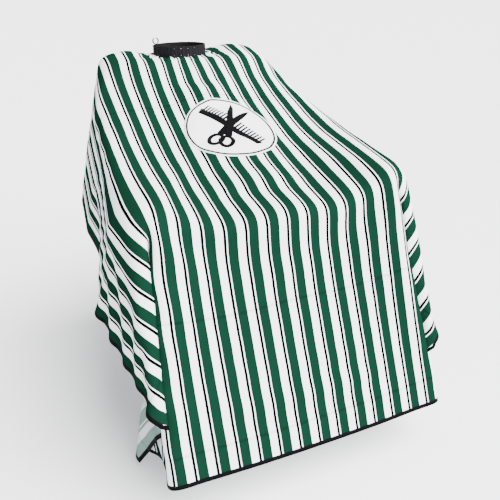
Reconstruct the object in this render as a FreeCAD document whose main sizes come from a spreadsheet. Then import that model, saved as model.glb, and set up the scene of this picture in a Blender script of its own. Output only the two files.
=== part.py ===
import FreeCAD, Part
import math
import os
from FreeCAD import Placement, Rotation, Vector
from Sketcher import Constraint

# A barber cape as it hangs over a seated shape: neck band at the origin, front towards -Y, +Z up.
# The cloth is a flat rectangle, so every reach below follows from its cut sizes.

SIZES = {
    # flat cut
    "cape_width": 1290,
    "cape_length": 1600,
    "neck_to_back": 300,
    "cloth_thickness": 2,
    # the slope from the neck to the knees, and the front fall below it
    "shoulder_half": 220,
    "knee_half": 300,
    "front_half": 350,
    "slope_reach": 715,
    "slope_angle": 18.7,
    "front_lean": 18,
    "knee_width": 26,
    "knee_sag": 43,
    "lap_half": 150,
    "hem_sag": 6,
    # the level ground round the neck, and the shoulders beside it
    "neck_flat_half": 95,
    "neck_front_reach": 90,
    "back_edge": 85,
    "hump_half": 155,
    "hump_rise": 22,
    "hump_front_drop": 8,
    "hump_back_rise": 8,
    "shoulder_depth": 40,
    "shoulder_drop": 6,
    "back_lean": 2.6,
    # how the side flaps hang; leans are from straight down, forward positive
    "fold_lean": 10,
    "fold_spread": 52,
    "tail_lean": -16.8,
    "tail_spread": 42,
    "pleat_depth": 10,
    "nose_width": 33,
    "nose_depth": 18,
    "nose_rise": 8,
    "flare_reach": 560,
    "flare_half": 287,
    "flap_flare": 115,
    "flap_hang": 338,
    "rear_flare": 80,
    "rear_depth": 50,
    "rear_hang": 566,
    # edge binding
    "binding_width": 8,
    "binding_thickness": 2.4,
    "seam_gap": 0.3,
    # neck band
    "neck_radius": 73,
    "band_thickness": 3,
    "band_height": 30,
    "casing_wall": 1,
    "elastic_play": 0.05,
    "elastic_height": 20,
    "band_turn": 359.4,
    # closure tab and snaps
    "tab_radius": 78.6,
    "tab_thickness": 1.5,
    "tab_height": 22,
    "tab_turn": 49,
    "tab_root_angle": 106,
    "tab_root_radius": 2,
    "snap_pitch_angle": 16.6,
    "snap_first_angle": 82,
    "stud_count": 5,
    "socket_count": 2,
    "stud_radius": 5.5,
    "stud_flange": 0.8,
    "stud_nub_radius": 2,
    "stud_nub_height": 1.4,
    "snap_play": 0.05,
    "socket_thickness": 1.45,
    "cap_radius": 6,
    "cap_crown": 4.2,
    "cap_thickness": 1,
    # back opening, loop and label
    "slit_width": 2,
    "placket_width": 34,
    "placket_lap": 8.5,
    "placket_thickness": 1.5,
    "placket_length": 205,
    "placket_start": 3,
    "loop_angle": 140,
    "loop_radius": 9,
    "loop_thickness": 0.8,
    "loop_width": 8,
    "loop_gap": 0.05,
    "label_left": 44,
    "label_start": 12,
    "label_width": 30,
    "label_height": 18,
    "label_thickness": 0.6,
    # chest print
    "print_radius": 120,
    "print_thickness": 0.3,
    "print_gap": 0.1,
    "print_reach": 338,
    "print_depth": 60,
}

doc = FreeCAD.newDocument("barber_cape")
sheet = doc.addObject("Spreadsheet::Sheet", "sizes")
for row, (alias, value) in enumerate(SIZES.items(), 1):
    sheet.set("A%d" % row, alias)
    sheet.set("B%d" % row, str(value))
    sheet.setAlias("B%d" % row, alias)
doc.recompute()


def size(alias):
    return float(getattr(sheet, alias))


# ---------------------------------------------------------------- places in the drape

def down(lean, reach):
    """A vector that hangs down by reach, leaning forward by lean degrees."""
    angle = math.radians(lean)
    return Vector(0, -reach * math.sin(angle), -reach * math.cos(angle))


def ridge(reach, outward):
    """A point on the ridge between the slope and the side flap, reach down from the shoulder."""
    slope = math.radians(size("slope_angle"))
    return Vector(outward, -reach * math.cos(slope), -reach * math.sin(slope))


def slope_points():
    """Corners of the level neck ground, the shoulder and the slope, on the +X side."""
    neck_z = -size("band_height") / 2 + size("cloth_thickness") / 2
    front, back = -size("neck_front_reach"), size("back_edge")
    chest_reach = size("neck_front_reach") / math.cos(math.radians(size("slope_angle")))
    chest_share = chest_reach / size("slope_reach")
    chest_half = size("shoulder_half") + chest_share * (size("knee_half") - size("shoulder_half"))
    knee = ridge(size("slope_reach"), size("knee_half"))
    shoulder = Vector(size("shoulder_half"), 0, 0)
    return {
        "neck_back": Vector(size("neck_flat_half"), back, neck_z),
        "neck_mid": Vector(size("neck_flat_half"), 0, neck_z),
        "neck_front": Vector(size("neck_flat_half"), front, neck_z),
        "hump_back": Vector(size("hump_half"), back, size("hump_back_rise")),
        "hump": Vector(size("hump_half"), 0, size("hump_rise")),
        "hump_front": Vector(size("hump_half"), front, -size("hump_front_drop")),
        "shoulder": shoulder,
        "shoulder_back": shoulder + Vector(0, size("shoulder_depth"), -size("shoulder_drop")),
        "chest_side": ridge(chest_reach, chest_half),
        "knee": knee,
        "knee_side": knee + Vector(size("knee_width"), 0, 0),
        "lap": Vector(size("lap_half"), knee.y, knee.z - size("knee_sag")),
    }


def drape_points():
    """Corner points of the +X side of the drape, with the bindings' width left off every edge."""
    points = slope_points()
    knee = points["knee"]
    band = size("binding_width") + size("seam_gap")
    fall = size("cape_length") - size("neck_to_back") - size("slope_reach")
    flap = size("cape_width") / 2 - size("knee_half")

    hem_side = knee + down(size("front_lean"), fall - band)
    hem_side.x = size("front_half")
    points["hem_side"] = hem_side
    points["hem_mid"] = Vector(size("lap_half"), hem_side.y, hem_side.z - size("hem_sag"))

    points["tail"] = knee + down(size("tail_lean"), math.hypot(flap, fall) - band)
    points["tail"].x += size("tail_spread")
    points["tail_out"] = points["tail"] + Vector(size("pleat_depth"), 0, 0)

    fold_turn = math.radians(90 - size("slope_angle") - size("fold_lean"))
    points["fold"] = knee + down(size("fold_lean"), (flap - band) / math.sin(fold_turn))
    points["fold"].x += size("fold_spread")
    points["fold_side"] = points["fold"] + Vector(size("nose_width"), size("nose_depth"), size("nose_rise"))

    flare = ridge(size("flare_reach"), size("flare_half") + size("flap_flare"))
    points["flare"] = flare - Vector(0, 0, size("flap_hang") - band)
    rear_half = size("shoulder_half") + size("rear_flare")
    points["rear"] = Vector(rear_half, size("rear_depth"), band - size("rear_hang"))

    back_drop = down(-size("back_lean"), size("neck_to_back") - size("back_edge") - band)
    points["back_mid"] = points["neck_back"] + back_drop
    back_y, back_z = points["back_mid"].y, points["back_mid"].z
    points["back_hump"] = Vector(size("hump_half"), back_y, back_z)
    points["back_side"] = Vector(size("shoulder_half"), back_y, back_z + size("shoulder_drop"))
    return points


def mirrored(point, side):
    return Vector(point.x * side, point.y, point.z)


def is_flat(points):
    normal = (points[1] - points[0]).cross(points[2] - points[0])
    return abs(normal.normalize().dot(points[3] - points[0])) < 1e-6


def plate(points, thickness):
    """Thin solids centred on a three or four sided patch; a patch that isn't flat becomes two."""
    if len(points) == 4 and not is_flat(points):
        return plate(points[:3], thickness) + plate([points[0], points[2], points[3]], thickness)
    normal = (points[1] - points[0]).cross(points[2] - points[0]).normalize()
    face = Part.Face(Part.makePolygon(points + [points[0]]))
    face.translate(normal * (-thickness / 2))
    return [face.extrude(normal * thickness)]


def fused(solids):
    shape = solids[0].multiFuse(solids[1:]) if len(solids) > 1 else solids[0]
    return shape.removeSplitter()


def soft_part(label, shape):
    """A cloth piece, whose shape no primitive has."""
    feature = doc.addObject("Part::Feature", label)
    feature.Shape = shape
    feature.Placement = Placement()
    feature.Label = label
    return feature


# ---------------------------------------------------------------- the cloth and its bindings

SIDE_PATCHES = [
    # round the neck and over the shoulder
    ("neck_back", "hump_back", "hump", "neck_mid"),
    ("neck_mid", "hump", "hump_front", "neck_front"),
    ("hump_back", "shoulder_back", "shoulder", "hump"),
    ("hump", "shoulder", "chest_side", "hump_front"),
    # the slope down to the knees
    ("neck_front", "hump_front", "lap"),
    ("hump_front", "chest_side", "knee"),
    ("chest_side", "knee_side", "knee"),
    ("hump_front", "knee", "lap"),
    # the front fall, and the pleat tucked behind its edge
    ("lap", "knee", "hem_side", "hem_mid"),
    ("knee", "hem_side", "tail"),
    ("knee", "tail", "tail_out"),
    ("knee", "tail_out", "fold"),
    ("knee", "fold", "fold_side", "knee_side"),
    # the side flap
    ("knee_side", "fold_side", "flare"),
    ("chest_side", "knee_side", "flare"),
    ("shoulder", "chest_side", "flare"),
    ("shoulder", "flare", "rear"),
    ("shoulder_back", "shoulder", "rear"),
    # the back
    ("neck_back", "hump_back", "back_hump", "back_mid"),
    ("hump_back", "shoulder_back", "back_side", "back_hump"),
    ("shoulder_back", "rear", "back_side"),
]

CENTRE_PATCHES = [
    ("neck_back", "neck_front"),
    ("neck_front", "lap"),
    ("lap", "hem_mid"),
    ("neck_back", "back_mid"),
]


def cape_panel(points):
    thickness = size("cloth_thickness")
    solids = []
    for side in (-1, 1):
        for names in SIDE_PATCHES:
            solids += plate([mirrored(points[name], side) for name in names], thickness)
    for first, second in CENTRE_PATCHES:
        corners = [mirrored(points[first], -1), points[first], points[second], mirrored(points[second], -1)]
        solids += plate(corners, thickness)
    cloth = fused(solids)
    hole_radius = size("neck_radius") + size("band_thickness") + size("seam_gap")
    tall = size("cape_length")
    hole = Part.makeCylinder(hole_radius, size("band_height"), Vector(0, 0, -size("band_height")))
    slit = Part.makeBox(size("slit_width"), tall, tall, Vector(-size("slit_width") / 2, 0, -tall))
    return soft_part("cape_panel", cloth.cut([hole, slit]))


def edge_strip(start, end, inside):
    """One straight length of binding beyond the cloth's edge from start to end."""
    along = (end - start).normalize()
    outward = (start - inside) - along * (start - inside).dot(along)
    outward.normalize()
    near = outward * size("seam_gap")
    far = outward * (size("seam_gap") + size("binding_width"))
    corners = [start + near, end + near, end + far, start + far]
    return plate(corners, size("binding_thickness"))[0]


def binding(label, points, runs):
    """A binding made of runs: the side it is on, its two ends and a point in the cloth beside it."""
    strips = []
    for side, start, end, inside in runs:
        ends = [mirrored(points[name], side) for name in (start, end, inside)]
        strips.append(edge_strip(*ends))
    return soft_part(label, fused(strips))


def front_binding(points):
    runs = []
    for side in (-1, 1):
        runs.append((side, "tail", "hem_side", "knee"))
        runs.append((side, "hem_side", "hem_mid", "lap"))
    hem = binding("front_binding", points, runs)
    middle = edge_strip(mirrored(points["hem_mid"], -1), points["hem_mid"], points["lap"])
    hem.Shape = fused([hem.Shape, middle])
    return hem


def side_binding(label, points, side):
    return binding(label, points, [
        (side, "tail_out", "fold", "knee"),
        (side, "fold", "fold_side", "knee_side"),
        (side, "fold_side", "flare", "knee_side"),
        (side, "flare", "rear", "shoulder"),
    ])


def back_binding(label, points, side):
    solid = binding(label, points, [
        (side, "rear", "back_side", "shoulder_back"),
        (side, "back_side", "back_hump", "hump_back"),
        (side, "back_hump", "back_mid", "neck_back"),
    ])
    slit_side = Vector(side * size("slit_width") / 2, points["back_mid"].y, points["back_mid"].z)
    inside = Vector(side * size("slit_width") / 2, points["neck_back"].y, points["neck_back"].z)
    strip = edge_strip(mirrored(points["back_mid"], side), slit_side, inside)
    solid.Shape = fused([solid.Shape, strip])
    return solid


# ---------------------------------------------------------------- sketched bodies

def origin_plane(body, role):
    return [item for item in body.Origin.OriginFeatures if item.Role == role][0]


def new_body(label):
    body = doc.addObject("PartDesign::Body", label)
    body.Label = label
    body.AllowCompound = True
    return body


def new_sketch(body, name, role):
    sketch = body.newObject("Sketcher::SketchObject", name)
    sketch.AttachmentSupport = [(origin_plane(body, role), "")]
    sketch.MapMode = "FlatFace"
    return sketch


def outline(sketch, corners):
    """A closed outline of straight lines; each corner is a pair of expressions for its X and Y."""
    places = [Vector(evaluate(sketch, x), evaluate(sketch, y), 0) for x, y in corners]
    first = sketch.GeometryCount
    count = len(corners)
    for index in range(count):
        sketch.addGeometry(Part.LineSegment(places[index], places[(index + 1) % count]), False)
    for index in range(count):
        following = first + (index + 1) % count
        sketch.addConstraint(Constraint("Coincident", first + index, 2, following, 1))
    for index, (x, y) in enumerate(corners):
        for kind, text, value in (("DistanceX", x, places[index].x), ("DistanceY", y, places[index].y)):
            number = sketch.addConstraint(Constraint(kind, -1, 1, first + index, 1, value))
            sketch.setExpression("Constraints[%d]" % number, text)


def evaluate(holder, text):
    result = holder.evalExpression(text)
    return float(getattr(result, "Value", result))


def revolve(body, sketch, axis, angle):
    feature = body.newObject("PartDesign::Revolution", sketch.Name + "_turn")
    feature.Profile = sketch
    feature.ReferenceAxis = (sketch, [axis])
    feature.setExpression("Angle", angle)
    sketch.Visibility = False
    return feature


def box_outline(inner, outer, half_height):
    low = "-(%s)" % half_height
    return [(inner, low), (outer, low), (outer, half_height), (inner, half_height)]


def ring_body(label, outlines, angle, start_angle):
    """A band round the Z axis whose section is the given outlines, from start_angle degrees."""
    body = new_body(label)
    sketch = new_sketch(body, label + "_section", "XZ_Plane")
    for corners in outlines:
        outline(sketch, corners)
    revolve(body, sketch, "V_Axis", angle)
    body.Placement = Placement(Vector(0, 0, 0), Rotation(Vector(0, 0, 1), start_angle))
    return body


def band_start():
    """The angle of one side of the band's split, which is centred at the back."""
    return 90 + (360 - size("band_turn")) / 2


def neck_band():
    """The casing that closes round the neck, hollow for its elastic, split at the back."""
    outer = "sizes.neck_radius + sizes.band_thickness"
    tunnel_outer = outer + " - sizes.casing_wall"
    tunnel_inner = "sizes.neck_radius + sizes.casing_wall"
    casing = box_outline("sizes.neck_radius", outer, "sizes.band_height / 2")
    tunnel = box_outline(tunnel_inner, tunnel_outer, "sizes.elastic_height / 2 + sizes.elastic_play")
    return ring_body("neck_band", [casing, tunnel], "sizes.band_turn", band_start())


def neck_elastic():
    inner = "sizes.neck_radius + sizes.casing_wall + sizes.elastic_play"
    outer = "sizes.neck_radius + sizes.band_thickness - sizes.casing_wall - sizes.elastic_play"
    section = box_outline(inner, outer, "sizes.elastic_height / 2")
    return ring_body("neck_elastic", [section], "sizes.band_turn", band_start())


def closure_tab():
    """The end of the band that laps over the split, turning on a round root."""
    outer = "sizes.tab_radius + sizes.tab_thickness"
    section = box_outline("sizes.tab_radius", outer, "sizes.tab_height / 2")
    body = ring_body("closure_tab", [section], "sizes.tab_turn", size("tab_root_angle") - size("tab_turn"))
    root = new_sketch(body, "tab_root", "XY_Plane")
    reach = "(sizes.tab_radius + sizes.tab_thickness - sizes.tab_root_radius)"
    across = reach + " * cos(sizes.tab_turn * 1 deg)"
    along = reach + " * sin(sizes.tab_turn * 1 deg)"
    centre = Vector(evaluate(root, across), evaluate(root, along), 0)
    root.addGeometry(Part.Circle(centre, Vector(0, 0, 1), size("tab_root_radius")), False)
    bound = (
        (Constraint("Radius", 0, size("tab_root_radius")), "sizes.tab_root_radius"),
        (Constraint("DistanceX", -1, 1, 0, 3, centre.x), across),
        (Constraint("DistanceY", -1, 1, 0, 3, centre.y), along),
    )
    for constraint, text in bound:
        root.setExpression("Constraints[%d]" % root.addConstraint(constraint), text)
    pad = body.newObject("PartDesign::Pad", "tab_root_pad")
    pad.Profile = root
    pad.Midplane = True
    pad.setExpression("Length", "sizes.tab_height")
    return body


def snap_row(label, corners, count_alias):
    """Round snap parts whose axes point out from the Z axis, repeated round the band."""
    body = new_body(label)
    sketch = new_sketch(body, label + "_profile", "XZ_Plane")
    outline(sketch, corners)
    turn = revolve(body, sketch, "H_Axis", "360")
    doc.recompute()
    pattern = body.newObject("PartDesign::PolarPattern", label + "_row")
    pattern.Originals = [turn]
    pattern.Axis = (origin_plane(body, "Z_Axis"), [""])
    pattern.Reversed = True
    pattern.setExpression("Occurrences", "sizes." + count_alias)
    pattern.setExpression("Angle", "sizes.snap_pitch_angle * (sizes.%s - 1)" % count_alias)
    body.Tip = pattern
    body.Placement = Placement(Vector(0, 0, 0), Rotation(Vector(0, 0, 1), size("snap_first_angle")))
    return body


FLANGE_FOOT = "sizes.neck_radius + sizes.band_thickness + sizes.snap_play"


def snap_studs():
    flange = FLANGE_FOOT + " + sizes.stud_flange"
    top = flange + " + sizes.stud_nub_height"
    return snap_row("snap_studs", [
        (FLANGE_FOOT, "0"), (top, "0"), (top, "sizes.stud_nub_radius"), (flange, "sizes.stud_nub_radius"),
        (flange, "sizes.stud_radius"), (FLANGE_FOOT, "sizes.stud_radius"),
    ], "stud_count")


def snap_sockets():
    foot = FLANGE_FOOT + " + sizes.stud_flange + sizes.snap_play"
    bore = "sizes.stud_nub_radius + sizes.snap_play"
    top = foot + " + sizes.socket_thickness"
    corners = [(foot, bore), (top, bore), (top, "sizes.stud_radius"), (foot, "sizes.stud_radius")]
    return snap_row("snap_sockets", corners, "socket_count")


def snap_caps():
    foot = "sizes.tab_radius + sizes.tab_thickness + sizes.snap_play"
    rim = foot + " + sizes.cap_thickness / 2"
    top = foot + " + sizes.cap_thickness"
    return snap_row("snap_caps", [
        (foot, "0"), (top, "0"), (top, "sizes.cap_crown"), (rim, "sizes.cap_radius"),
        (foot, "sizes.cap_radius"),
    ], "socket_count")


# ---------------------------------------------------------------- pieces from primitives

def back_piece(label, points, left, width, thickness, length, start, offset):
    """A flat strip that lies along the cloth's back, offset outward from the middle of the cloth."""
    box = doc.addObject("Part::Box", label)
    box.Label = label
    box.setExpression("Length", width)
    box.setExpression("Width", thickness)
    box.setExpression("Height", length)
    lean = size("back_lean")
    reach = down(-lean, start + evaluate(box, length))
    normal = Vector(0, math.cos(math.radians(lean)), math.sin(math.radians(lean)))
    top = Vector(left, points["neck_back"].y, points["neck_back"].z)
    box.Placement = Placement(top + reach + normal * offset, Rotation(Vector(1, 0, 0), lean))
    return box


def plackets(points):
    width, thickness, length = "sizes.placket_width", "sizes.placket_thickness", "sizes.placket_length"
    clear = size("cloth_thickness") / 2 + size("seam_gap")
    inner = -clear - size("placket_thickness")
    start, lap = size("placket_start"), size("placket_lap")
    overlap_left = lap - size("placket_width")
    overlap = back_piece("placket_overlap", points, overlap_left, width, thickness, length, start, clear)
    underlap = back_piece("placket_underlap", points, -lap, width, thickness, length, start, inner)
    return [overlap, underlap]


def care_label(points):
    clear = size("cloth_thickness") / 2 + size("seam_gap")
    inner = -clear - size("label_thickness")
    width, thickness, height = "sizes.label_width", "sizes.label_thickness", "sizes.label_height"
    start = size("label_start")
    return back_piece("care_label", points, size("label_left"), width, thickness, height, start, inner)


def cylinder(name, radius, height, placement):
    shape = doc.addObject("Part::Cylinder", name)
    shape.setExpression("Radius", radius)
    shape.setExpression("Height", height)
    shape.Placement = placement
    return shape


def hanging_loop():
    """A ribbon loop that stands on the band's top edge, beside the closure."""
    radial = size("neck_radius") + size("band_thickness") / 2
    turn = math.radians(size("loop_angle"))
    tangent = Vector(-math.sin(turn), math.cos(turn), 0)
    height = size("band_height") / 2 + size("loop_radius") + size("loop_gap")
    base = Vector(radial * math.cos(turn), radial * math.sin(turn), height)
    lying = Rotation(Vector(0, 0, 1), tangent)
    place = Placement(base - tangent * (size("loop_width") / 2), lying)
    outer = cylinder("loop_outer", "sizes.loop_radius", "sizes.loop_width", place)
    inner = cylinder("loop_inner", "sizes.loop_radius - sizes.loop_thickness", "sizes.loop_width", place)
    loop = doc.addObject("Part::Cut", "hanging_loop")
    loop.Base = outer
    loop.Tool = inner
    loop.Label = "hanging_loop"
    return loop


PRINT_GROUND = [
    ("neck_front", "hump_front", "lap"),
    ("hump_front", "knee", "lap"),
]


def chest_print(points):
    """The printed film: a round field lying along the cloth."""
    top, bottom = points["neck_front"], points["lap"]
    run = Vector(0, bottom.y - top.y, bottom.z - top.z).normalize()
    normal = Vector(0, run.z, -run.y)
    thickness = size("print_thickness")
    lift = normal * (size("cloth_thickness") / 2 + size("print_gap") + thickness / 2)
    upper, lower = top + lift, bottom + lift
    skin = plate([mirrored(upper, -1), upper, lower, mirrored(lower, -1)], thickness)
    for side in (-1, 1):
        for names in PRINT_GROUND:
            skin += plate([mirrored(points[name] + lift, side) for name in names], thickness)

    centre = Vector(0, top.y, top.z) + run * size("print_reach")
    depth = size("print_depth")
    back = normal * (-depth / 2)
    field = Part.makeCylinder(size("print_radius"), depth, centre + back, normal)
    return soft_part("chest_print", fused(skin).common(field))


# ---------------------------------------------------------------- build, check and write

def build():
    points = drape_points()
    nodes = [cape_panel(points), front_binding(points)]
    for name, side in (("left", -1), ("right", 1)):
        nodes.append(side_binding(name + "_binding", points, side))
        nodes.append(back_binding("back_binding_" + name, points, side))
    nodes += [neck_band(), neck_elastic(), closure_tab(), snap_studs(), snap_sockets(), snap_caps()]
    nodes += plackets(points)
    nodes += [care_label(points), hanging_loop(), chest_print(points)]
    return nodes


def check(nodes):
    doc.recompute()
    for item in doc.Objects:
        if "Invalid" in item.State or "Error" in item.State:
            raise RuntimeError("%s is %s" % (item.Name, item.State))
    for node in nodes:
        if node.Shape.isNull() or not node.Shape.isValid() or not node.Shape.Solids:
            raise RuntimeError("%s has no valid solid" % node.Label)


def write(nodes):
    os.makedirs("parts", exist_ok=True)
    for node in nodes:
        node.Shape.exportStep("parts/%s.step" % node.Label)
        box = node.Shape.BoundBox
        corners = (box.XMin, box.XMax, box.YMin, box.YMax, box.ZMin, box.ZMax)
        extent = " ".join("%.1f" % value for value in corners)
        solids = len(node.Shape.Solids)
        print("%-20s %2d solid(s) %10.1f mm3  %s" % (node.Label, solids, node.Shape.Volume, extent))


built = build()
check(built)
write(built)
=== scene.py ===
import math
import bmesh
import bpy
import numpy as np
from mathutils import Matrix, Vector
from mathutils.geometry import tessellate_polygon


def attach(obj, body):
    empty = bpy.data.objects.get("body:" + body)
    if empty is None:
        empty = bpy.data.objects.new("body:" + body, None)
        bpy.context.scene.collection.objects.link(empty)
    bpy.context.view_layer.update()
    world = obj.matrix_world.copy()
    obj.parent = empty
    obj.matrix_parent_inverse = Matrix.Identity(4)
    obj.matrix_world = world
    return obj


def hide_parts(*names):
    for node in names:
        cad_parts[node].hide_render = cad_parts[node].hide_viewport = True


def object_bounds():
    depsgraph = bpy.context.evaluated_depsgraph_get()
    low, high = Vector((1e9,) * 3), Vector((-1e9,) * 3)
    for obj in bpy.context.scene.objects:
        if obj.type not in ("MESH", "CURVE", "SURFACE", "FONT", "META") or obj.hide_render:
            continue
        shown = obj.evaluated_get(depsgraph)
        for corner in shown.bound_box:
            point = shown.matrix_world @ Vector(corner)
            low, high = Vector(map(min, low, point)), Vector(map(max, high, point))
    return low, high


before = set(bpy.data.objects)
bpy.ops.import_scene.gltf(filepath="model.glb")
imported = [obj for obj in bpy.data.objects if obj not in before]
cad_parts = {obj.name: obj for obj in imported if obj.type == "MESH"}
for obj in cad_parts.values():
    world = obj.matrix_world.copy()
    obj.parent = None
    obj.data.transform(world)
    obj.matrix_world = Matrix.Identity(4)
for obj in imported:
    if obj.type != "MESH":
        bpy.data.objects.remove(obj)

# A barber cape that hangs over a seated shape. Metres; the neck band is at the origin, the front
# is towards -Y. A point of the flat cloth is (u, v): u across from the middle, v from the back edge.

cad_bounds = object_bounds()

WIDTH, LENGTH = 1.290, 1.600
HALF = WIDTH / 2
NECK_V = 0.300
SLOPE_REACH = 0.715
SLACK = 0.005
KNEE_V = NECK_V + SLOPE_REACH + SLACK
SLOPE_ANGLE = 18.7
STRIPE_PITCH = 0.050
GREEN_WIDTH = 0.0230
CLOTH = 0.0010
SLIT = 0.002
HOLE_FLAT = 0.092
BAND_INNER, BAND_OUTER, BAND_HALF = 0.0730, 0.0760, 0.0150
GRID = 0.010
STEPS = 900


# ---------------------------------------------------------------- where the cloth hangs

def down(lean, reach):
    """A vector that hangs down by reach, leaning forward by lean degrees."""
    angle = math.radians(lean)
    return np.array([0, -reach * math.sin(angle), -reach * math.cos(angle)])


def on_slope(reach, outward):
    angle = math.radians(SLOPE_ANGLE)
    return np.array([outward, -reach * math.cos(angle), -reach * math.sin(angle)])


KNEE = on_slope(SLOPE_REACH, 0.300)
SHOULDER = np.array([0.236, 0, -0.004])
# how far along the ridge each row of the side flap starts, and its lean outwards at each reach
FLAP_ROWS = [(0.45, (36, 27, 19.5, 15.5)), (0.62, (39, 30, 21, 16.5)), (0.76, (47, 35, 22, 12.5)),
             (0.97, (68, 50, 26, 20.5))]
FLAP_REACHES = [(0.05, 1.0), (0.10, 0.995), (0.20, 0.98), (None, 0.965)]


def on_flap(foot, reach, lean, taut):
    """A point hung from the ridge between shoulder and knee: (flat point, place)."""
    share = (foot - NECK_V) / SLOPE_REACH
    ridge_u = 0.240 + 0.060 * share
    if reach is None:
        reach = HALF - ridge_u
    run = (KNEE - SHOULDER) / np.linalg.norm(KNEE - SHOULDER)
    outward = np.cross([0, 0, 1], run)
    outward /= np.linalg.norm(outward)
    hanging = np.cross(run, outward)
    hanging *= -np.sign(hanging[2])
    angle = math.radians(lean)
    place = SHOULDER + share * (KNEE - SHOULDER)
    place = place + reach * taut * (math.cos(angle) * hanging + math.sin(angle) * outward)
    return np.array([ridge_u + reach * 0.9965, foot - reach * 0.0836]), place


def drape_points():
    """Corners of the hanging shape on the +X side: name -> (flat point, place)."""
    fall = LENGTH - KNEE_V
    hem = KNEE + down(18, fall)
    rows = {
        # round the neck and over the shoulder
        "neck_back": (0.095, NECK_V - 0.085, 0.095, 0.085, -0.014),
        "neck_mid": (0.095, NECK_V, 0.095, 0, -0.014),
        "neck_front": (0.095, NECK_V + 0.090, 0.095, -0.090, -0.020),
        "hump_back": (0.160, NECK_V - 0.085, 0.158, 0.080, -0.006),
        "hump": (0.165, NECK_V, 0.162, 0, 0.010),
        "hump_front": (0.165, NECK_V + 0.095, 0.163, -0.090, -0.014),
        "shoulder": (0.240, NECK_V, *SHOULDER),
        "shoulder_back": (0.240, NECK_V - 0.055, 0.230, 0.045, -0.014),
        "chest_side": (0.248, NECK_V + 0.095, *on_slope(0.095, 0.243)),
        # the knees and the front fall
        "knee": (0.300, KNEE_V, *KNEE),
        "chest": (0.110, 0.535, 0.110, -0.207, -0.114),
        "belly": (0.130, 0.773, 0.130, -0.430, -0.213),
        "lap": (0.150, KNEE_V + 0.028, *(KNEE + [-0.150, -0.013, -0.080])),
        "trough": (0.150, KNEE_V + 0.087, *(KNEE + [-0.150, -0.012, -0.138])),
        "hem_side": (0.350, LENGTH, 0.350, hem[1], hem[2]),
        "hem_mid": (0.150, LENGTH, 0.150, hem[1], hem[2] - 0.006),
        # the pleat tucked behind the front's edge, and the facet between it and the flap
        "tuck": (0.520, LENGTH, 0.322, -0.700, -0.860),
        "tail": (HALF - 0.015, LENGTH, 0.360, -0.618, -0.858),
        "tail_out": (HALF, LENGTH - 0.012, 0.368, -0.620, -0.850),
        "facet_mid": (0.468, 1.160, 0.316, -0.722, -0.434),
        "facet_low": (HALF, 1.345, 0.326, -0.818, -0.690),
        "nose_top": (0.348, 1.010, 0.343, -0.663, -0.262),
        "nose_mid": (0.468, 1.115, 0.350, -0.727, -0.408),
        "nose_low": (HALF, 1.315, 0.349, -0.836, -0.668),
        # the corner behind the flap
        "rear_edge": (HALF, 0.360, 0.298, 0.042, -0.411),
        "rear_mid": (HALF, 0.220, 0.272, 0.105, -0.420),
        "rear_fold": (HALF, 0.100, 0.190, 0.080, -0.445),
        "rear": (HALF, 0, 0.235, 0.020, -0.495),
        "back_fold": (0.450, 0, 0.250, 0.095, -0.325),
        # the back edge
        "back_mid": (0.095, 0, 0.095, 0.096, -0.228),
        "back_hump": (0.160, 0, 0.155, 0.096, -0.228),
        "back_side": (0.240, 0, 0.218, 0.092, -0.235),
    }
    points = {name: (np.array(row[:2], float), np.array(row[2:], float)) for name, row in rows.items()}
    for r, (foot, leans) in enumerate(FLAP_ROWS):
        for c, (reach, taut) in enumerate(FLAP_REACHES):
            points[f"flap_{r}{c}"] = on_flap(foot, reach, leans[c], taut)
    return points


SIDE_PATCHES = [
    ("neck_back", "hump_back", "hump", "neck_mid"),
    ("neck_mid", "hump", "hump_front", "neck_front"),
    ("hump_back", "shoulder_back", "shoulder", "hump"),
    ("hump", "shoulder", "chest_side", "hump_front"),
    ("neck_front", "hump_front", "chest"),
    ("hump_front", "chest_side", "flap_00", "chest"),
    ("chest", "flap_00", "flap_10", "belly"),
    ("belly", "flap_10", "flap_20"),
    ("belly", "flap_20", "knee"),
    ("belly", "knee", "lap"),
    ("lap", "knee", "trough"),
    ("trough", "knee", "hem_side", "hem_mid"),
    ("knee", "hem_side", "tuck"),
    ("knee", "tuck", "tail"),
    ("knee", "tail", "tail_out"),
    ("knee", "tail_out", "facet_mid"),
    ("tail_out", "facet_low", "facet_mid"),
    ("knee", "facet_mid", "nose_mid", "nose_top"),
    ("facet_mid", "facet_low", "nose_low", "nose_mid"),
    # the side flap, from its front to its back
    ("knee", "nose_top", "flap_30"),
    ("flap_30", "nose_top", "flap_31"),
    ("flap_31", "nose_top", "nose_mid", "flap_32"),
    ("flap_32", "nose_mid", "nose_low", "flap_33"),
    ("flap_20", "flap_30", "knee"),
    ("shoulder", "chest_side", "flap_00"),
    ("flap_00", "flap_10", "flap_11", "flap_01"),
    ("flap_10", "flap_20", "flap_21", "flap_11"),
    ("flap_20", "flap_30", "flap_31", "flap_21"),
    ("flap_01", "flap_11", "flap_12", "flap_02"),
    ("flap_11", "flap_21", "flap_22", "flap_12"),
    ("flap_21", "flap_31", "flap_32", "flap_22"),
    ("flap_02", "flap_12", "flap_13", "flap_03"),
    ("flap_12", "flap_22", "flap_23", "flap_13"),
    ("flap_22", "flap_32", "flap_33", "flap_23"),
    ("shoulder", "flap_00", "flap_01"),
    ("shoulder", "flap_01", "flap_02"),
    ("shoulder", "flap_02", "flap_03"),
    ("shoulder", "flap_03", "rear_edge"),
    ("shoulder_back", "shoulder", "rear_edge"),
    ("shoulder_back", "rear_edge", "rear_mid"),
    ("shoulder_back", "rear_mid", "rear_fold"),
    ("shoulder_back", "rear_fold", "rear"),
    ("shoulder_back", "rear", "back_fold"),
    ("neck_back", "hump_back", "back_hump", "back_mid"),
    ("hump_back", "shoulder_back", "back_side", "back_hump"),
    ("shoulder_back", "back_fold", "back_side"),
]
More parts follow.
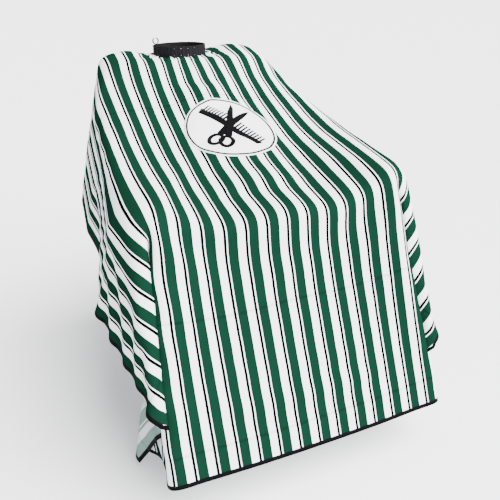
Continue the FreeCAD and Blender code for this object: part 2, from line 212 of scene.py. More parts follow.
CENTRE_PATCHES = [
    ("neck_back", "neck_front"), ("neck_front", "chest"), ("chest", "belly"), ("belly", "lap"),
    ("lap", "trough"), ("trough", "hem_mid"), ("neck_back", "back_mid"),
]


def triangles(points):
    """Every patch as triangles of (flat point, place), on both sides and across the middle."""
    found = []
    for side in (-1, 1):
        turn2, turn3 = np.array([side, 1]), np.array([side, 1, 1])
        for names in SIDE_PATCHES:
            corners = [(points[name][0] * turn2, points[name][1] * turn3) for name in names]
            found.append(corners[:3])
            if len(corners) == 4:
                found.append([corners[0], corners[2], corners[3]])
    left2, left3 = np.array([-1, 1]), np.array([-1, 1, 1])
    for first, second in CENTRE_PATCHES:
        (flat_a, place_a), (flat_b, place_b) = points[first], points[second]
        start = (flat_a * left2, place_a * left3)
        end = (flat_b * left2, place_b * left3)
        found.append([start, (flat_a, place_a), (flat_b, place_b)])
        found.append([start, (flat_b, place_b), end])
    return found


def first_hang(u, v):
    """The place and outward normal of each flat point on the patches."""
    flat = np.stack([u.ravel(), v.ravel()], 1)
    best = np.full(len(flat), -np.inf)
    place, normal = np.zeros((len(flat), 3)), np.zeros((len(flat), 3))
    for (fa, a), (fb, b), (fc, c) in triangles(drape_points()):
        ab, ac, ap = fb - fa, fc - fa, flat - fa
        turn = ab[0] * ac[1] - ac[0] * ab[1]
        if abs(turn) < 1e-12:
            continue
        s = (ap[:, 0] * ac[1] - ac[0] * ap[:, 1]) / turn
        t = (ab[0] * ap[:, 1] - ap[:, 0] * ab[1]) / turn
        inside = np.minimum(np.minimum(s, t), 1 - s - t)
        chosen = inside > best
        outward = np.cross(b - a, c - a) * -np.sign(turn)
        place[chosen] = (a + s[:, None] * (b - a) + t[:, None] * (c - a))[chosen]
        normal[chosen] = outward / np.linalg.norm(outward)
        best[chosen] = inside[chosen]
    return place.reshape(*u.shape, 3), normal.reshape(*u.shape, 3)


# ---------------------------------------------------------------- the cloth simulation

class Cloth:
    """A grid of cloth points: each link keeps its flat length while the cloth settles."""

    def __init__(self):
        count = int(round((HALF - SLIT / 2) / GRID))
        right = np.linspace(SLIT / 2, HALF, count + 1)
        self.us = np.concatenate([-right[::-1], right])
        self.vs = np.linspace(0, LENGTH, int(round(LENGTH / GRID)) + 1)
        self.u, self.v = np.meshgrid(self.us, self.vs)
        self.middle = count
        self.place, self.normal = first_hang(self.u, self.v)
        self.start = self.place.copy()
        self.pin_neck()
        self.links = []

    def pin_neck(self):
        """The edge of the neck hole is gathered onto the band's round."""
        reach = np.hypot(self.u, self.v - NECK_V)
        angle = np.arctan2(self.v - NECK_V, self.u)
        self.alive = reach > HOLE_FLAT
        self.free = np.where(reach > HOLE_FLAT + GRID * 1.05, 1.0, 0.0)[..., None]
        round_reach = (BAND_INNER + BAND_OUTER) / 2 * np.minimum(reach / HOLE_FLAT, 1)
        ring = np.stack([round_reach * np.cos(angle), -round_reach * np.sin(angle),
                         np.full_like(angle, -BAND_HALF + CLOTH)], -1)
        self.place = np.where(self.free > 0, self.place, ring)

    def link(self, reach, stiffness, slack=False):
        """Links between points that many rows or columns apart, in passes that share no point."""
        everything = slice(None)
        for begin in range(2 * reach):
            near = slice(begin, -reach, 2 * reach)
            far = slice(begin + reach, None, 2 * reach)
            self.add((everything, near), (everything, far), stiffness, slack)
            self.add((near, everything), (far, everything), stiffness, slack)

    def link_diagonals(self, stiffness):
        left, right = slice(0, -1), slice(1, None)
        for begin in range(2):
            near, far = slice(begin, -1, 2), slice(begin + 1, None, 2)
            self.add((near, left), (far, right), stiffness, False)
            self.add((near, right), (far, left), stiffness, False)

    def add(self, a, b, stiffness, slack):
        length = np.hypot(self.u[a] - self.u[b], self.v[a] - self.v[b])
        over_slit = (self.u[a] * self.u[b] < 0) & (np.minimum(self.v[a], self.v[b]) < NECK_V)
        mid_u, mid_v = (self.u[a] + self.u[b]) / 2, (self.v[a] + self.v[b]) / 2 - NECK_V
        over_hole = np.hypot(mid_u, mid_v) < 0.9 * HOLE_FLAT
        held = self.alive[a] & self.alive[b] & ~over_slit & ~over_hole
        share = self.free[a] + self.free[b]
        pull = np.where(held[..., None] & (share > 0), stiffness / np.maximum(share, 1e-9), 0)
        self.links.append((a, b, length[..., None], self.free[a] * pull, self.free[b] * pull, slack))

    def settle(self, steps, gravity=1.2e-5, keep=0.985, hold=0.002):
        """Steps of motion under gravity, over the shape below, until the cloth lies still."""
        ground = (self.start * self.normal).sum(-1)
        before = self.place.copy()
        for _ in range(steps):
            speed = (self.place - before) * keep * self.free
            before = self.place.copy()
            self.place = self.place + speed
            self.place[..., 2] -= gravity * self.free[..., 0]
            for a, b, length, pull_a, pull_b, slack in self.links:
                apart = self.place[a] - self.place[b]
                now = np.maximum(np.sqrt((apart * apart).sum(-1, keepdims=True)), 1e-9)
                excess = (now - length) / now
                if slack:
                    excess = np.maximum(excess, 0)
                move = apart * excess
                self.place[a] -= pull_a * move
                self.place[b] += pull_b * move
            sunk = np.maximum(ground - (self.place * self.normal).sum(-1), 0)[..., None]
            self.place += sunk * self.normal * self.free
            before = np.where(sunk > 0, (before + self.place) / 2, before)
            self.place += (self.start - self.place) * hold * self.free

    def iron(self, rounds):
        """Smooths out narrow ripples, away from the neck and the slit, and less on the folded sides."""
        gaps = np.diff(self.us)
        gaps = np.concatenate([gaps[:1], gaps, gaps[-1:]])
        to_right = (gaps[:-1] / (gaps[:-1] + gaps[1:]))[None, :, None]
        beside_slit = (np.abs(self.u) < SLIT) & (self.v < NECK_V + HOLE_FLAT)
        reach = np.hypot(self.u, self.v - NECK_V)
        share = 0.5 * np.clip((reach - HOLE_FLAT - 2.1 * GRID) / 0.05, 0, 1)
        share *= np.clip((0.36 - np.abs(self.u)) / 0.05, 0.2, 1)
        share = np.where(beside_slit, 0, share)[..., None]
        for _ in range(rounds):
            place = self.place
            left, right = 2 * place[:, :1] - place[:, 1:2], 2 * place[:, -1:] - place[:, -2:-1]
            wide = np.concatenate([left, place, right], 1)
            tall = np.concatenate([2 * place[:1] - place[1:2], place, 2 * place[-1:] - place[-2:-1]], 0)
            across = wide[:, :-2] * (1 - to_right) + wide[:, 2:] * to_right
            along = (tall[:-2] + tall[2:]) / 2
            self.place = place + share * ((across + along) / 2 - place)


def doubled(grid, axis):
    """The grid with a smoothly interpolated point between each two along that axis."""
    grid = np.moveaxis(grid, axis, 0)
    ends = np.concatenate([[2 * grid[0] - grid[1]], grid, [2 * grid[-1] - grid[-2]]])
    between = (9 * (ends[1:-2] + ends[2:-1]) - ends[:-3] - ends[3:]) / 16
    fine = np.empty((2 * len(grid) - 1, *grid.shape[1:]))
    fine[::2], fine[1::2] = grid, between
    return np.moveaxis(fine, 0, axis)


def grid_normals(place):
    along_u = np.gradient(place, axis=1)
    along_v = np.gradient(place, axis=0)
    normal = np.cross(along_v, along_u)
    return normal / np.maximum(np.linalg.norm(normal, axis=-1, keepdims=True), 1e-12)


def gathers(u, v):
    """How far the cloth stands off in the small gathers round the neck."""
    reach = np.hypot(u, v - NECK_V)
    angle = np.arctan2(v - NECK_V, u)
    waves = np.sin(23 * angle + 1.3 * np.sin(3 * angle)) + 0.6 * np.sin(14 * angle + 2.0)
    depth = 0.0022 * np.exp(-np.maximum(reach - 0.105, 0) / 0.030)
    return depth * waves * np.clip((reach - HOLE_FLAT) / 0.015, 0, 1)


class Surface:
    """The settled cloth: a fine grid of flat points, places and normals."""

    def __init__(self, cloth):
        sheet = np.concatenate([cloth.place, cloth.u[..., None], cloth.v[..., None]], -1)
        fine = doubled(doubled(sheet, 0), 1)
        self.us, self.vs = fine[0, :, 3], fine[:, 0, 4]
        self.place = fine[..., :3]
        self.normal = grid_normals(self.place)
        self.place = self.place + self.normal * gathers(fine[..., 3], fine[..., 4])[..., None]
        self.u, self.v = fine[..., 3], fine[..., 4]
        cells = cloth.alive[:-1, :-1] & cloth.alive[1:, :-1] & cloth.alive[:-1, 1:] & cloth.alive[1:, 1:]
        slit = (np.arange(len(cloth.us) - 1)[None, :] == cloth.middle) & (cloth.vs[:-1, None] < NECK_V - 1e-6)
        self.cells = (cells & ~slit).repeat(2, 0).repeat(2, 1)

    def at(self, u, v, lift=0.0):
        """The place of flat point (u, v), lifted along the normal."""
        u, v = np.asarray(u, float), np.asarray(v, float)
        column = np.clip(np.interp(u, self.us, np.arange(len(self.us))), 0, len(self.us) - 1.001)
        row = np.clip(np.interp(v, self.vs, np.arange(len(self.vs))), 0, len(self.vs) - 1.001)
        c, r = column.astype(int), row.astype(int)
        fc, fr = (column - c)[..., None], (row - r)[..., None]

        def blend(grid):
            top = grid[r, c] * (1 - fc) + grid[r, c + 1] * fc
            low = grid[r + 1, c] * (1 - fc) + grid[r + 1, c + 1] * fc
            return top * (1 - fr) + low * fr

        normal = blend(self.normal)
        normal /= np.linalg.norm(normal, axis=-1, keepdims=True)
        return blend(self.place) + normal * lift, normal


def settled_surface():
    cloth = Cloth()
    cloth.link(1, 1.0)
    cloth.link_diagonals(0.35)
    cloth.link(2, 0.12)
    cloth.link(4, 0.02)
    cloth.link(12, 0.8, slack=True)
    cloth.settle(STEPS)
    cloth.iron(12)
    return Surface(cloth)


surface = settled_surface()


# ---------------------------------------------------------------- node helpers

class Shader:
    """A procedural material with one Principled shader."""

    def __init__(self, name):
        self.material = bpy.data.materials.new(name)
        self.material.use_nodes = True
        self.tree = self.material.node_tree
        self.principled = self.tree.nodes["Principled BSDF"]

    def node(self, kind, **settings):
        made = self.tree.nodes.new(kind)
        for key, value in settings.items():
            setattr(made, key, value)
        return made

    def join(self, source, target):
        self.tree.links.new(source, target)

    def feed(self, socket, value):
        if isinstance(value, bpy.types.NodeSocket):
            self.join(value, socket)
        else:
            socket.default_value = value

    def maths(self, operation, *values):
        made = self.node("ShaderNodeMath", operation=operation)
        for socket, value in zip(made.inputs, values):
            self.feed(socket, value)
        return made.outputs[0]

    def ramp(self, factor, stops, interpolation="LINEAR"):
        made = self.node("ShaderNodeValToRGB")
        made.color_ramp.interpolation = interpolation
        elements = made.color_ramp.elements
        while len(elements) < len(stops):
            elements.new(0.5)
        for element, (position, colour) in zip(elements, stops):
            element.position = position
            element.color = (*colour, 1)
        self.join(factor, made.inputs["Fac"])
        return made.outputs["Color"]

    def mix(self, factor, first, second, blend="MIX"):
        made = self.node("ShaderNodeMix", data_type="RGBA", blend_type=blend)
        self.feed(made.inputs["Factor"], factor)
        for socket, value in ((made.inputs[6], first), (made.inputs[7], second)):
            self.feed(socket, (*value, 1) if isinstance(value, tuple) else value)
        return made.outputs[2]

    def noise(self, vector, scale, detail=2.0):
        made = self.node("ShaderNodeTexNoise")
        made.inputs["Scale"].default_value = scale
        made.inputs["Detail"].default_value = detail
        self.join(vector, made.inputs["Vector"])
        return made.outputs["Fac"]

    def bump(self, height, distance, strength=1.0, under=None):
        made = self.node("ShaderNodeBump")
        made.inputs["Distance"].default_value = distance
        made.inputs["Strength"].default_value = strength
        self.join(height, made.inputs["Height"])
        if under is not None:
            self.join(under, made.inputs["Normal"])
        return made.outputs["Normal"]

    def object_place(self):
        return self.node("ShaderNodeTexCoord").outputs["Object"]

    def flat(self, layer="flat"):
        """The flat cloth's u and v, from the UV map."""
        uv = self.node("ShaderNodeUVMap", uv_map=layer)
        parts = self.node("ShaderNodeSeparateXYZ")
        self.join(uv.outputs["UV"], parts.inputs[0])
        return uv.outputs["UV"], parts.outputs[0], parts.outputs[1]

    def finish(self, colour, roughness, normal=None, **sockets):
        self.feed(self.principled.inputs["Base Color"], colour)
        self.feed(self.principled.inputs["Roughness"], roughness)
        if normal is not None:
            self.join(normal, self.principled.inputs["Normal"])
        for name, value in sockets.items():
            self.principled.inputs[name.replace("_", " ")].default_value = value
        return self.material


def weave_height(shader, across, along, pitch):
    """A plain weave: threads over and under at that pitch."""
    wave_a = shader.maths("SINE", shader.maths("MULTIPLY", across, 2 * math.pi / pitch))
    wave_b = shader.maths("SINE", shader.maths("MULTIPLY", along, 2 * math.pi / pitch))
    return shader.maths("MULTIPLY", wave_a, wave_b)


GREEN, WHITE, BLACK = (0.0030, 0.0210, 0.0120), (0.86, 0.87, 0.89), (0.0010, 0.0020, 0.0018)
LINE_START, LINE_END = 0.815, 0.940
CREASES = (0.560, 1.249, 1.535)
CREASE_WIDTH = 0.005


def crease_height(shader, along):
    """Sharp fold lines left by the packing, each a shallow valley across the cloth."""
    total = None
    for v in CREASES:
        away = shader.maths("ABSOLUTE", shader.maths("SUBTRACT", along, v))
        height = shader.maths("SUBTRACT", 1.0, shader.maths("DIVIDE", away, CREASE_WIDTH))
        valley = shader.maths("MAXIMUM", height, 0.0)
        total = valley if total is None else shader.maths("ADD", total, valley)
    return shader.maths("SUBTRACT", 1.0, total)


def stripes(shader, across, green, white, black):
    """Printed stripes across the flat width: green, broad white, thin black, thin white."""
    shifted = shader.maths("ADD", across, 5.5 * STRIPE_PITCH + GREEN_WIDTH / 2 - HALF + 100 * STRIPE_PITCH)
    share = shader.maths("DIVIDE", shader.maths("MODULO", shifted, STRIPE_PITCH), STRIPE_PITCH)
    stops = [(0.0, green), (GREEN_WIDTH / STRIPE_PITCH, white), (LINE_START, black), (LINE_END, white)]
    return shader.ramp(share, stops, "CONSTANT")


def striped_cloth(name, green, white, black, fade):
    shader = Shader(name)
    uv, across, along = shader.flat()
    ragged = shader.maths("MULTIPLY", shader.maths("SUBTRACT", shader.noise(uv, 900, 1), 0.5), 0.0007)
    colour = stripes(shader, shader.maths("ADD", across, ragged), green, white, black)
    cloud = shader.ramp(shader.noise(uv, 9, 4), [(0.3, (0.93, 0.93, 0.94)), (0.7, (1, 1, 1))])
    colour = shader.mix(1.0, colour, cloud, "MULTIPLY")
    threads = shader.ramp(shader.noise(uv, 1400, 1), [(0.25, (0.90,) * 3), (0.75, (1, 1, 1))])
    colour = shader.mix(fade, colour, threads, "MULTIPLY")
    crease_fold_and_shade = crease_height(shader, along)
    # painted shade: the colour is darkened down to 0.80 along the crease valleys
    colour = shader.mix(1.0, colour, shader.ramp(crease_fold_and_shade, [(0.0, (0.80,) * 3), (1.0, (1, 1, 1))]), "MULTIPLY")
    weave = shader.bump(weave_height(shader, across, along, 0.0011), 0.00008, 0.7)
    rumple = shader.bump(shader.noise(uv, 7, 3), 0.009, 0.55, weave)
    normal = shader.bump(crease_fold_and_shade, 0.0020, 0.9, rumple)
    rough = shader.ramp(shader.noise(uv, 14, 2), [(0.3, (0.46,) * 3), (0.7, (0.56,) * 3)])
    return shader.finish(colour, rough, normal, Specular_IOR_Level=0.0)


STITCH_PITCH, STITCH_ROW = 0.0034, 0.0072


def tape_material(name, colour, pitch=0.0012):
    """Woven tape, with its rib and one row of stitches along its inner edge."""
    shader = Shader(name)
    uv, along, across = shader.flat()
    rib = shader.bump(weave_height(shader, along, across, pitch), 0.00012, 0.8)
    wave = shader.maths("SINE", shader.maths("MULTIPLY", along, 2 * math.pi / STITCH_PITCH))
    stitch = shader.maths("GREATER_THAN", wave, -0.35)
    from_row = shader.maths("ABSOLUTE", shader.maths("SUBTRACT", across, STITCH_ROW))
    row = shader.maths("LESS_THAN", from_row, 0.0005)
    thread = shader.maths("MULTIPLY", stitch, row)
    normal = shader.bump(thread, 0.0006, 0.9, rib)
    light = tuple(channel * 2.2 + 0.003 for channel in colour)
    tint = shader.ramp(shader.noise(uv, 60, 3), [(0.3, tuple(0.8 * c for c in colour)), (0.7, colour)])
    return shader.finish(shader.mix(thread, tint, light), 0.62, normal, Specular_IOR_Level=0.02)


def knit_material(name, colour, scale=700, rough=0.75, depth=0.0003):
    """Cloth whose thread shows from its place alone, for pieces without a flat map."""
    shader = Shader(name)
    place = shader.object_place()
    grain = shader.noise(place, scale, 3)
    dark = tuple(0.7 * c for c in colour)
    tint = shader.ramp(grain, [(0.35, dark), (0.65, colour)])
    return shader.finish(tint, rough, shader.bump(grain, depth, 0.8), Specular_IOR_Level=0.12)


def metal_material(name, colour, rough):
    shader = Shader(name)
    place = shader.object_place()
    worn = shader.noise(place, 350, 4)
    tint = shader.ramp(worn, [(0.35, tuple(0.82 * c for c in colour)), (0.6, colour)])
    polish = shader.ramp(worn, [(0.3, (rough * 1.4,) * 3), (0.7, (rough * 0.8,) * 3)])
    return shader.finish(tint, polish, shader.bump(worn, 0.00003, 0.5), Metallic=1.0)


def enamel_material(name, colour):
    shader = Shader(name)
    speck = shader.noise(shader.object_place(), 900, 2)
    tint = shader.ramp(speck, [(0.4, tuple(0.9 * c for c in colour)), (0.6, colour)])
    return shader.finish(tint, 0.22, shader.bump(speck, 0.00002, 0.5), Coat_Weight=0.4)


def film_material(name, colour, rough):
    """Screen-print film on the cloth, with the weave showing through it."""
    shader = Shader(name)
    uv, across, along = shader.flat()
    weave = shader.bump(weave_height(shader, across, along, 0.0011), 0.00005, 0.6)
    crackle = shader.noise(uv, 240, 4)
    tint = shader.ramp(crackle, [(0.28, tuple(0.9 * c for c in colour)), (0.5, colour)])
    return shader.finish(tint, rough, shader.bump(crackle, 0.00006, 0.4, weave), Specular_IOR_Level=0.02)


cloth_face = striped_cloth("striped_cloth", GREEN, WHITE, BLACK, 0.6)
# the reverse: the print shows faded through the cloth, and the whole colour is darkened as painted shade
cloth_back = striped_cloth("striped_cloth_reverse_faded_and_painted_shade",
                           (0.16, 0.24, 0.21), (0.56, 0.57, 0.58), (0.20, 0.21, 0.21), 1.0)
tape_black = tape_material("black_binding", (0.0016, 0.0017, 0.0020))
band_cloth = knit_material("neck_cloth", (0.0040, 0.0040, 0.0046))
elastic_cloth = knit_material("elastic", (0.55, 0.55, 0.53), 900)
tab_cloth = knit_material("tab_cloth", (0.016, 0.016, 0.018), 1100)
label_cloth = knit_material("label_cloth", (0.70, 0.70, 0.68), 1500, 0.5, 0.0001)
snap_steel = metal_material("snap_metal", (0.62, 0.62, 0.60), 0.22)
snap_black = enamel_material("snap_cap", (0.012, 0.012, 0.013))
film_white = film_material("print_film", (0.84, 0.85, 0.88), 0.45)
film_black = film_material("print_ink", (0.0022, 0.0022, 0.0026), 0.45)


# ---------------------------------------------------------------- mesh helpers

def new_piece(name, points, faces, materials, flat=None, body="cape"):
    mesh = bpy.data.meshes.new(name)
    mesh.from_pydata([tuple(map(float, point)) for point in points], [],
                     [tuple(map(int, face)) for face in faces])
    for material in materials:
        mesh.materials.append(material)
    if flat is not None:
        layer = mesh.uv_layers.new(name="flat")
        corners = np.empty(len(mesh.loops), int)
        mesh.loops.foreach_get("vertex_index", corners)
        layer.data.foreach_set("uv", np.asarray(flat, float)[corners].ravel())
    mesh.shade_smooth()
    piece = bpy.data.objects.new(name, mesh)
    bpy.context.scene.collection.objects.link(piece)
    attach(piece, body)
    return piece


def thicken(piece, thickness, offset=0.0, reverse=0):
    modifier = piece.modifiers.new("thickness", "SOLIDIFY")
    modifier.thickness = thickness
    modifier.offset = offset
    modifier.material_offset = reverse
    modifier.use_even_offset = False
    return piece


# ---------------------------------------------------------------- the cloth panel

def cape_cloth():
    rows, columns = surface.cells.shape
    used = np.zeros(surface.u.shape, bool)
    for down_step in (0, 1):
        for side_step in (0, 1):
            used[down_step:rows + down_step, side_step:columns + side_step] |= surface.cells
    index = np.cumsum(used.ravel()).reshape(used.shape) - 1
    r, c = np.nonzero(surface.cells)
    faces = np.stack([index[r, c], index[r + 1, c], index[r + 1, c + 1], index[r, c + 1]], 1)
    flat = np.stack([surface.u[used] + HALF, surface.v[used]], 1)
    piece = new_piece("cape_cloth", surface.place[used], faces, [cloth_face, cloth_back], flat)
    return thicken(piece, CLOTH, reverse=1)


# ---------------------------------------------------------------- edge bindings

TAPE_WIDTH, TAPE_OUT, TAPE_HALF = 0.0090, 0.0010, 0.0012


def tape_section():
    """Round the cloth's edge: (inward reach, height off the cloth), starting on the face."""
    face = [(TAPE_WIDTH, 0.0009), (TAPE_WIDTH - 0.001, TAPE_HALF), (TAPE_WIDTH / 2, TAPE_HALF),
            (0.001, TAPE_HALF), (-TAPE_OUT * 0.7, TAPE_HALF * 0.75)]
    reverse = [(reach, -height) for reach, height in reversed(face)]
    return face + [(-TAPE_OUT, 0)] + reverse


def edge_run(flat_points, inward):
    """Places, inward directions and normals along a run of edge points of the flat cloth."""
    u, v = np.array(flat_points).T
    edge, normal = surface.at(u, v)
    inner, _ = surface.at(u + inward[0] * TAPE_WIDTH, v + inward[1] * TAPE_WIDTH)
    reach = inner - edge
    along = np.gradient(edge, axis=0)
    along /= np.linalg.norm(along, axis=1, keepdims=True)
    reach -= (reach * along).sum(1, keepdims=True) * along
    reach /= np.linalg.norm(reach, axis=1, keepdims=True)
    outward = np.cross(along, reach)
    outward *= np.sign((outward * normal).sum(1, keepdims=True))
    return edge, reach, outward


def tape(name, flat_points, inward):
    edge, reach, outward = edge_run(flat_points, inward)
    section = tape_section()
    size = len(section)
    steps = np.linalg.norm(np.diff(edge, axis=0), axis=1)
    travelled = np.concatenate([[0], np.cumsum(steps)])
    points, flat, faces = [], [], []
    for i in range(len(edge)):
        for inward_reach, height in section:
            points.append(edge[i] + reach[i] * inward_reach + outward[i] * height)
            flat.append((travelled[i], max(inward_reach, 0)))
    for i in range(len(edge) - 1):
        for j in range(size):
            a, b = i * size + j, i * size + (j + 1) % size
            faces.append((a, b, b + size, a + size))
    faces.append(tuple(range(size)))
    faces.append(tuple(reversed(range((len(edge) - 1) * size, len(edge) * size))))
    piece = new_piece(name, points, faces, [tape_black], flat)
    recalculate(piece)
    return piece


def recalculate(piece):
    work = bmesh.new()
    work.from_mesh(piece.data)
    bmesh.ops.recalc_face_normals(work, faces=work.faces)
    work.to_mesh(piece.data)
    work.free()


def bindings():
    spacing = 0.004
    across = np.linspace(-HALF, HALF, int(WIDTH / spacing))
    along = np.linspace(0, LENGTH, int(LENGTH / spacing))
    half = np.linspace(SLIT / 2, HALF, int(HALF / spacing))
    runs = {
        "front_hem_tape": ([(u, LENGTH) for u in across], (0, -1), "front_binding"),
        "left_edge_tape": ([(-HALF, v) for v in along], (1, 0), "left_binding"),
        "right_edge_tape": ([(HALF, v) for v in along], (-1, 0), "right_binding"),
        "back_tape_left": ([(-u, 0) for u in half], (0, 1), "back_binding_left"),
        "back_tape_right": ([(u, 0) for u in half], (0, 1), "back_binding_right"),
    }
    made = []
    for name, (points, inward, node) in runs.items():
        piece = tape(name, points, inward)
        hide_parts(node)
        made.append(piece)
    return made


# ---------------------------------------------------------------- the chest print

PRINT_U, PRINT_V = 0.013, 0.700
BADGE = 0.124


def oval(half_x, half_y, count=96, centre=(0, 0)):
    angles = np.linspace(0, 2 * math.pi, count, endpoint=False)
    return [(centre[0] + half_x * math.cos(a), centre[1] + half_y * math.sin(a)) for a in angles]


def stroke(path, width, closed=False):
    """Quads along a path, drawn with that width."""
    path = np.array(path, float)
    ahead, behind = np.roll(path, -1, 0), np.roll(path, 1, 0)
    if not closed:
        ahead[-1], behind[0] = path[-1], path[0]
    run = ahead - behind
    run /= np.linalg.norm(run, axis=1, keepdims=True)
    side = np.stack([-run[:, 1], run[:, 0]], 1) * width / 2
    left, right = path + side, path - side
    quads = []
    for i in range(len(path) - (0 if closed else 1)):
        j = (i + 1) % len(path)
        quads.append([tuple(left[i]), tuple(left[j]), tuple(right[j]), tuple(right[i])])
    return quads


def turned(shapes, degrees, move=(0, 0), mirror=False):
    angle = math.radians(degrees)
    cos, sin = math.cos(angle), math.sin(angle)
    flip = -1 if mirror else 1
    return [[(move[0] + x * flip * cos - y * sin, move[1] + x * flip * sin + y * cos) for x, y in shape]
            for shape in shapes]


def comb_shapes():
    """A barber's comb, upright: a spine with long teeth on one side."""
    shapes = [[(-0.020, -0.094), (0.000, -0.099), (0.002, 0.099), (-0.020, 0.094)]]
    for i in range(20):
        y = -0.093 + i * 0.0095
        reach = 0.030 - 0.005 * abs(i - 9.5) / 9.5
        shapes.append([(0.001, y), (reach, y + 0.0008), (reach, y + 0.0050), (0.001, y + 0.0058)])
    return shapes


def scissor_half():
    """One half of a pair of scissors: a blade above the pivot, a shank and a finger ring below."""
    shapes = [[(-0.0090, 0.000), (-0.0075, 0.084), (0.0000, 0.104), (0.0075, 0.055), (0.0090, 0.000)]]
    shapes.append([(-0.0100, 0.002), (0.0110, 0.002), (0.0095, -0.044), (0.0000, -0.050), (-0.0090, -0.044)])
    ring = oval(0.0165, 0.0225, 28, (0.004, -0.070))
    return shapes + stroke(ring, 0.0110, closed=True)


def tool_ink():
    """Crossed comb and scissors."""
    shapes = turned(comb_shapes(), 34, (0.006, 0.008))
    for mirror in (False, True):
        for shape in turned(scissor_half(), 15 if mirror else -15, (0, 0), mirror):
            shapes += turned([shape], -38, (0.000, 0.004))
    return shapes


def print_white():
    return [oval(BADGE, BADGE)]


def print_ink():
    """One plain border line and the crossed tools."""
    border = oval(BADGE - 0.007, BADGE - 0.007)
    return stroke(border, 0.0050, closed=True) + tool_ink()


def print_piece(name, shapes, lift, material):
    """Flat shapes laid on the cloth, cut along a fine grid so that they follow it."""
    work = bmesh.new()
    for shape in shapes:
        corners = [work.verts.new((x, y, 0)) for x, y in shape]
        for triple in tessellate_polygon([[Vector((x, y, 0)) for x, y in shape]]):
            work.faces.new([corners[i] for i in triple])
    cut = 0.008
    cuts = math.ceil(BADGE / cut)
    for axis in ((1, 0, 0), (0, 1, 0)):
        for i in range(-cuts, cuts + 1):
            everything = work.verts[:] + work.edges[:] + work.faces[:]
            bmesh.ops.bisect_plane(work, geom=everything, dist=1e-7,
                                   plane_co=Vector(axis) * (i * cut), plane_no=axis)
    flat = np.array([vertex.co[:2] for vertex in work.verts])
    work.verts.index_update()
    faces = [[vertex.index for vertex in face.verts] for face in work.faces if face.calc_area() > 1e-10]
    work.free()
    u, v = PRINT_U + flat[:, 0], PRINT_V - flat[:, 1]
    points, _ = surface.at(u, v, lift)
    piece = new_piece(name, points, faces, [material], np.stack([u + HALF, v], 1))
    face_outward(piece, u, v)
    return piece


def face_outward(piece, u, v):
    """Turns every face that looks into the cloth."""
    _, normals = surface.at(u, v)
    flipped = [face.index for face in piece.data.polygons
               if face.normal.dot(Vector(normals[face.vertices[0]])) < 0]
    work = bmesh.new()
    work.from_mesh(piece.data)
    work.faces.ensure_lookup_table()
    bmesh.ops.reverse_faces(work, faces=[work.faces[i] for i in flipped])
    work.to_mesh(piece.data)
    work.free()


def chest_print():
    film = thicken(print_piece("print_film", print_white(), CLOTH / 2 + 0.0006, film_white), 0.00025)
    ink = thicken(print_piece("print_ink", print_ink(), CLOTH / 2 + 0.0012, film_black), 0.00016)
    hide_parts("chest_print")
    return [film, ink]


# ---------------------------------------------------------------- the neck band and the back opening

def neck_band():
    """A gathered casing round the elastic: soft ruffles on a closed ring, open at the back."""
    gap = math.radians(0.6)
    turns, section = 360, 16
    start = math.pi / 2 + gap / 2
    points, flat, faces = [], [], []
    for i in range(turns + 1):
        angle = start + (2 * math.pi - gap) * i / turns
        ruffle = 0.0007 * math.sin(angle * 46) + 0.0004 * math.sin(angle * 71 + 1)
        for j in range(section):
            turn = 2 * math.pi * j / section
            high = BAND_HALF * math.copysign(abs(math.sin(turn)) ** 0.35, math.sin(turn))
            wall = (BAND_OUTER - BAND_INNER) / 2 * math.copysign(abs(math.cos(turn)) ** 0.6, math.cos(turn))
            seam = 1 - 0.45 * math.exp(-((abs(high) - 0.0108) / 0.0013) ** 2)
            outer = wall > 0
            reach = (BAND_INNER + BAND_OUTER) / 2 + wall * (seam if outer else 1)
            reach += ruffle + 0.0005 if outer else 0
            points.append((reach * math.cos(angle), reach * math.sin(angle), high))
            flat.append((angle * BAND_OUTER, high + BAND_HALF))
    for i in range(turns):
        for j in range(section):
            a, b = i * section + j, i * section + (j + 1) % section
            faces.append((a, b, b + section, a + section))
    faces.append(tuple(range(section)))
    faces.append(tuple(range(turns * section, (turns + 1) * section)))
    piece = new_piece("neck_casing", points, faces, [band_cloth], flat)
    recalculate(piece)
    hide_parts("neck_band")
    return piece


def placket(name, node, low, high, lift):
    """A doubled strip down the back opening, laid over or under both halves of the cloth."""
    us = np.linspace(low, high, 9)
    vs = np.linspace(0.004, 0.209, 42)
    u, v = np.meshgrid(us, vs)
    place, normal = surface.at(u, v)
    edge = np.minimum(np.abs(us - low), np.abs(us - high))[None, :, None]
    puffed = lift + math.copysign(0.0004, lift) * np.sin(np.clip(edge / 0.006, 0, 1) * math.pi)
    points = (place + normal * puffed).reshape(-1, 3)
    rows, columns = u.shape
    faces = [(r * columns + c, (r + 1) * columns + c, (r + 1) * columns + c + 1, r * columns + c + 1)
             for r in range(rows - 1) for c in range(columns - 1)]
    flat = np.stack([v, np.minimum(np.abs(u - low), np.abs(u - high)) + 0.005], -1).reshape(-1, 2)
    piece = thicken(new_piece(name, points, faces, [tape_black], flat), 0.0012)
    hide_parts(node)
    return piece


# ---------------------------------------------------------------- the pieces

cloth_piece = cape_cloth()
tapes = bindings()
prints = chest_print()
neck_band()
overlap = placket("placket_over", "placket_overlap", -0.0255, 0.0085, 0.0022)
underlap = placket("placket_under", "placket_underlap", -0.0085, 0.0255, -0.0022)
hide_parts("cape_panel")

NODE_MATERIALS = {
    "neck_elastic": elastic_cloth,
    "closure_tab": tab_cloth,
    "snap_studs": snap_steel,
    "snap_sockets": snap_steel,
    "snap_caps": snap_black,
    "hanging_loop": tab_cloth,
    "care_label": label_cloth,
}
for node, material in NODE_MATERIALS.items():
    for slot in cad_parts[node].material_slots:
        slot.material = material


# ---------------------------------------------------------------- the studio

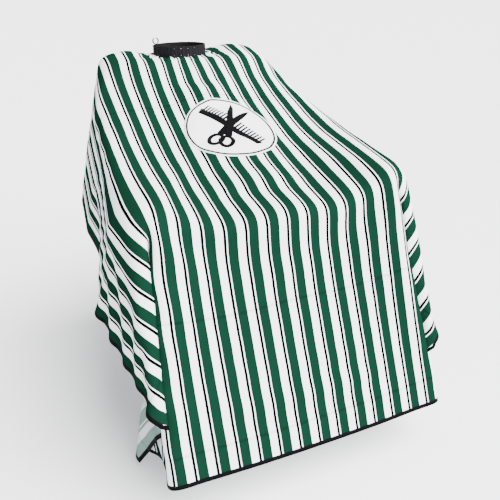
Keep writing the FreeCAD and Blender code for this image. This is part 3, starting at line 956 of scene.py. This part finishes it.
def studio_floor():
    level = cad_bounds[0][2] - 0.030
    mesh = bpy.data.meshes.new("floor")
    reach = 400.0
    corners = [(-reach, -reach, level), (reach, -reach, level), (reach, reach, level), (-reach, reach, level)]
    mesh.from_pydata(corners, [], [(0, 1, 2, 3)])
    shader = Shader("floor_paper")
    grain = shader.noise(shader.object_place(), 3, 2)
    colour = shader.ramp(grain, [(0.3, (0.93, 0.935, 0.94)), (0.7, (0.95, 0.955, 0.96))])
    mesh.materials.append(shader.finish(colour, 0.9))
    floor = bpy.data.objects.new("floor", mesh)
    bpy.context.scene.collection.objects.link(floor)


def area_light(name, place, aim, size, power, colour=(1, 1, 1)):
    data = bpy.data.lights.new(name, "AREA")
    data.size = size
    data.energy = power
    data.color = colour
    light = bpy.data.objects.new(name, data)
    bpy.context.scene.collection.objects.link(light)
    light.location = place
    light.rotation_euler = (Vector(aim) - Vector(place)).to_track_quat("-Z", "Y").to_euler()


def sun_light(name, towards, softness, power, colour):
    data = bpy.data.lights.new(name, "SUN")
    data.energy = power
    data.angle = softness
    data.color = colour
    light = bpy.data.objects.new(name, data)
    bpy.context.scene.collection.objects.link(light)
    light.rotation_euler = Vector(towards).to_track_quat("Z", "Y").to_euler()


def studio_camera():
    """Above the front hem on the wearer's right, looking down at the lap."""
    place = Vector((-0.5583, -1.8029, 0.1865))
    pitch, bearing, roll = 0.4212, 0.4025, 0.0268
    level = math.cos(pitch)
    back = Vector((-math.sin(bearing) * level, -math.cos(bearing) * level, math.sin(pitch)))
    right = Vector((math.cos(bearing), -math.sin(bearing), 0))
    up = back.cross(right)
    axes = Matrix((right * math.cos(roll) - up * math.sin(roll),
                   right * math.sin(roll) + up * math.cos(roll), back))
    data = bpy.data.cameras.new("camera")
    data.sensor_width = 36
    data.lens = 43.65
    camera = bpy.data.objects.new("camera", data)
    bpy.context.scene.collection.objects.link(camera)
    camera.matrix_world = Matrix.Translation(place) @ axes.transposed().to_4x4()
    bpy.context.scene.camera = camera


def studio_world():
    world = bpy.data.worlds.new("studio")
    bpy.context.scene.world = world
    world.use_nodes = True
    background = world.node_tree.nodes["Background"]
    background.inputs["Color"].default_value = (0.95, 0.97, 1.0, 1)
    background.inputs["Strength"].default_value = 0.95


studio_floor()
studio_camera()
studio_world()
area_light("front", (0.9, -3.1, 0.5), (0, -0.45, -0.35), 1.6, 60, (0.98, 0.99, 1.0))
sun_light("key", (0.45, -0.55, 0.80), 1.1, 15.0, (1.0, 0.99, 0.98))
